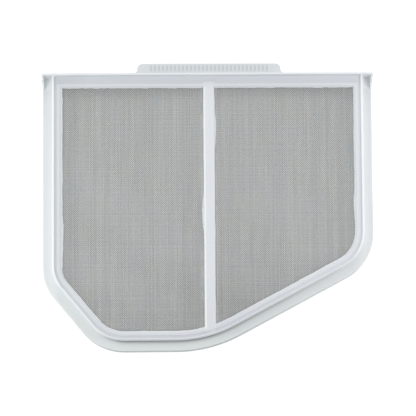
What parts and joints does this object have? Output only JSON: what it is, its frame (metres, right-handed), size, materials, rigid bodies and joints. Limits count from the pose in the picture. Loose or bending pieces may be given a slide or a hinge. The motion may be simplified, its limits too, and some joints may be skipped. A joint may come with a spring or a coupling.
{
  "type": "tumble dryer lint filter",
  "caption": "Flat lint filter for a tumble dryer: a pale moulded frame with a cap and finger tab on top, a sloping lower edge, and fine woven screen in its windows.",
  "frame": {"origin": "On the resting plane, under the middle of the outline, with the filter lying on the back of its flange.", "axes": "+Z points out of the lint side, +Y points to the cap and finger tab, and +X is to the right as seen from the lint side."},
  "size_m": [0.332, 0.288, 0.018],
  "materials": {
    "frame_plastic": "satin, as moulded",
    "screen_mesh": "fine plain weave of monofilament"
  },
  "bodies": {
    "root": {"filter_frame": "frame_plastic", "mesh_screen": "screen_mesh"}
  },
  "joints": []
}
